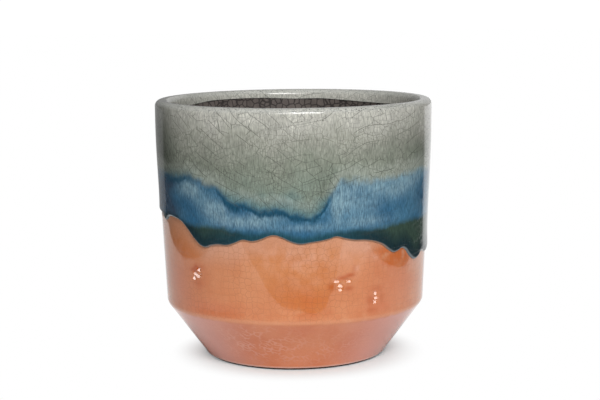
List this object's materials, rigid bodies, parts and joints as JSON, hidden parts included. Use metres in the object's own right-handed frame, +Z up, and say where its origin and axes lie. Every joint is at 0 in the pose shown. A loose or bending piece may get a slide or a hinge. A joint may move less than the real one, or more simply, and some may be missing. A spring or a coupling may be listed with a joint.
{
  "type": "cachepot",
  "caption": "Round ceramic cachepot with a bevelled base, a foot ring and layered glazes, which holds a nursery pot and rests on a shelf.",
  "frame": {"origin": "middle of the foot ring, on the surface that the pot stands on", "axes": "+Z up along the pot's axis, the front of the picture faces -Y"},
  "size_m": [0.1388, 0.1388, 0.129],
  "materials": {
    "fired_clay": "bare fired earthenware, matte and slightly gritty, seen only at the foot ring and underside",
    "apricot_glaze": "glossy translucent apricot glaze with a fine crackle",
    "brown_glaze": "glossy dark charcoal brown glaze with a coarse crackle",
    "grey_glaze": "glossy light grey glaze, streaked downwards, with dark crackle lines",
    "blue_glaze": "glossy mottled blue glaze, streaked downwards, darker at its upper edge",
    "green_glaze": "glossy dark green glaze, thick where it pooled at the run line"
  },
  "bodies": {
    "root": {"clay_body": "fired_clay", "base_glaze": "apricot_glaze", "liner_glaze": "brown_glaze", "grey_glaze": "grey_glaze", "blue_glaze": "blue_glaze", "drip_edge": "green_glaze"}
  },
  "joints": []
}
